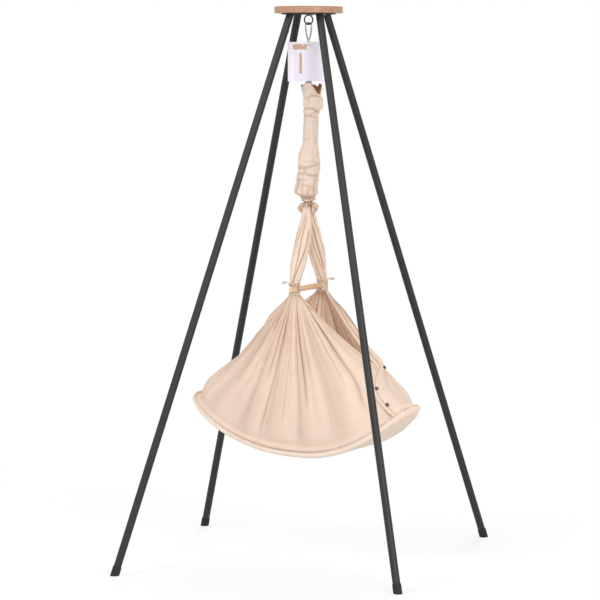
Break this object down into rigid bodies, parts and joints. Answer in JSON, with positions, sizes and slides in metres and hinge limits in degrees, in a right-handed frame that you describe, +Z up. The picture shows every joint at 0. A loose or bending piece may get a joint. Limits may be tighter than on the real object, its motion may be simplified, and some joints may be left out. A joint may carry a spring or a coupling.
{
  "type": "spring cradle on stand",
  "caption": "Cloth baby cradle hanging from a sleeved spring and snap hook under a wooden-topped stand with splayed plug-together tube legs.",
  "frame": {"origin": "on the floor, vertically below the eye that the cradle hangs from", "axes": "+Z up; +X along the cradle to its foot end, the end that closes with press studs; +Y across the cradle, along the spreader bar, away from the card's side"},
  "size_m": [1.2886, 1.3544, 1.982],
  "materials": {
    "beech_disc": "light oiled",
    "beech_bar": "raw sanded",
    "powder_coat": "fine matt texture",
    "black_steel": "satin",
    "zinc_steel": "satin",
    "button_steel": "dull",
    "spring_steel": "drawn wire",
    "black_rubber": "matt",
    "cotton_cloth": "plain weave",
    "cotton_band": "plain weave",
    "mattress_cover": "fine weave",
    "cotton_cord": "twisted",
    "safety_rope": "braided",
    "card_paper": "smooth",
    "antique_brass": "aged"
  },
  "bodies": {
    "stand": {"top_disc": "beech_disc", "disc_screws": "zinc_steel", "top_plate": "powder_coat", "eye_bolt": "black_steel", "eye_washer": "zinc_steel", "eye_nut": "zinc_steel", "button_leaf_springs": "spring_steel", "leg_socket_front_left": "powder_coat", "upper_leg_front_left": "powder_coat", "lower_leg_front_left": "powder_coat", "foot_cap_front_left": "black_rubber", "leg_socket_front_right": "powder_coat", "upper_leg_front_right": "powder_coat", "lower_leg_front_right": "powder_coat", "foot_cap_front_right": "black_rubber", "leg_socket_back_right": "powder_coat", "upper_leg_back_right": "powder_coat", "lower_leg_back_right": "powder_coat", "foot_cap_back_right": "black_rubber", "leg_socket_back_left": "powder_coat", "upper_leg_back_left": "powder_coat", "lower_leg_back_left": "powder_coat", "foot_cap_back_left": "black_rubber"},
    "socket_button_front_left": {"socket_button_front_left": "button_steel"},
    "leg_button_front_left": {"leg_button_front_left": "button_steel"},
    "socket_button_front_right": {"socket_button_front_right": "button_steel"},
    "leg_button_front_right": {"leg_button_front_right": "button_steel"},
    "socket_button_back_right": {"socket_button_back_right": "button_steel"},
    "leg_button_back_right": {"leg_button_back_right": "button_steel"},
    "socket_button_back_left": {"socket_button_back_left": "button_steel"},
    "leg_button_back_left": {"leg_button_back_left": "button_steel"},
    "snap_hook": {"snap_hook": "zinc_steel"},
    "hook_gate": {"hook_gate": "zinc_steel", "gate_pin": "zinc_steel", "gate_spring": "spring_steel"},
    "swivel": {"swivel_eye": "zinc_steel"},
    "spring_hanger": {"spring_top_fitting": "zinc_steel", "main_spring": "spring_steel", "safety_cord": "safety_rope", "card_string": "cotton_cord"},
    "card": {"info_card": "card_paper"},
    "spring_low": {"spring_low_fitting": "zinc_steel"},
    "cradle": {"sling_loop": "cotton_cloth", "sling_crown": "cotton_cloth", "spring_sleeve": "cotton_cloth", "sleeve_tie": "cotton_cord", "strap_near": "cotton_cloth", "strap_far": "cotton_cloth", "spreader_bar": "beech_bar", "bar_tie_near": "cotton_cord", "bar_tie_far": "cotton_cord", "side_panel_near": "cotton_cloth", "side_panel_far": "cotton_cloth", "base_tray": "cotton_band", "mattress": "mattress_cover", "stud_caps": "antique_brass", "stud_sockets": "antique_brass"}
  },
  "joints": [
    {"name": "socket_button_front_left_press", "type": "slide", "parent": "stand", "child": "socket_button_front_left", "axis": [-0.5133, -0.7884, 0.339], "range_m": [0, 0.0036], "stiffness_N_per_m": 800, "springref_m": -0.005, "deforming": ["button_leaf_springs"]},
    {"name": "leg_button_front_left_press", "type": "slide", "parent": "stand", "child": "leg_button_front_left", "axis": [-0.5133, -0.7884, 0.339], "range_m": [0, 0.0036], "stiffness_N_per_m": 800, "springref_m": -0.005, "deforming": ["button_leaf_springs"]},
    {"name": "socket_button_front_right_press", "type": "slide", "parent": "stand", "child": "socket_button_front_right", "axis": [0.7083, -0.619, 0.3393], "range_m": [0, 0.0036], "stiffness_N_per_m": 800, "springref_m": -0.005, "deforming": ["button_leaf_springs"]},
    {"name": "leg_button_front_right_press", "type": "slide", "parent": "stand", "child": "leg_button_front_right", "axis": [-0.7083, 0.619, -0.3393], "range_m": [0, 0.0036], "stiffness_N_per_m": 800, "springref_m": -0.005, "deforming": ["button_leaf_springs"]},
    {"name": "socket_button_back_right_press", "type": "slide", "parent": "stand", "child": "socket_button_back_right", "axis": [0.484, 0.8068, 0.339], "range_m": [0, 0.0036], "stiffness_N_per_m": 800, "springref_m": -0.005, "deforming": ["button_leaf_springs"]},
    {"name": "leg_button_back_right_press", "type": "slide", "parent": "stand", "child": "leg_button_back_right", "axis": [0.484, 0.8068, 0.339], "range_m": [0, 0.0036], "stiffness_N_per_m": 800, "springref_m": -0.005, "deforming": ["button_leaf_springs"]},
    {"name": "socket_button_back_left_press", "type": "slide", "parent": "stand", "child": "socket_button_back_left", "axis": [-0.7982, 0.4979, 0.339], "range_m": [0, 0.0036], "stiffness_N_per_m": 800, "springref_m": -0.005, "deforming": ["button_leaf_springs"]},
    {"name": "leg_button_back_left_press", "type": "slide", "parent": "stand", "child": "leg_button_back_left", "axis": [-0.7982, 0.4979, 0.339], "range_m": [0, 0.0036], "stiffness_N_per_m": 800, "springref_m": -0.005, "deforming": ["button_leaf_springs"]},
    {"name": "swing_lengthwise", "type": "hinge", "parent": "stand", "child": "snap_hook", "pos_m": [0, 0, 1.92108], "axis": [0, 1, 0], "range_deg": [-6, 6]},
    {"name": "gate_open", "type": "hinge", "parent": "snap_hook", "child": "hook_gate", "pos_m": [0.00395, 0.00684, 1.87965], "axis": [0.866, -0.5, 0], "range_deg": [0, 24], "stiffness_Nm_per_rad": 0.2, "springref_deg": -17.19},
    {"name": "swivel_turn", "type": "hinge", "parent": "snap_hook", "child": "swivel", "pos_m": [0, 0, 1.86565], "axis": [0, 0, 1], "range_deg": [-8, 8]},
    {"name": "swing_sideways", "type": "hinge", "parent": "swivel", "child": "spring_hanger", "pos_m": [0, 0, 1.84872], "axis": [1, 0, 0], "range_deg": [-4, 4]},
    {"name": "card_swing", "type": "hinge", "parent": "spring_hanger", "child": "card", "pos_m": [0.01226, -0.02406, 1.846], "axis": [-0.891, -0.454, 0], "range_deg": [-4, 25]},
    {"name": "bounce", "type": "slide", "parent": "spring_hanger", "child": "spring_low", "axis": [0, 0, -1], "range_m": [0, 0.18], "stiffness_N_per_m": 450, "springref_m": -0.1, "deforming": ["main_spring", "safety_cord", "spring_sleeve"]},
    {"name": "cradle_rock", "type": "hinge", "parent": "spring_low", "child": "cradle", "pos_m": [0, 0, 1.33747], "axis": [0, 1, 0], "range_deg": [-4, 4], "deforming": ["spring_sleeve"]}
  ]
}
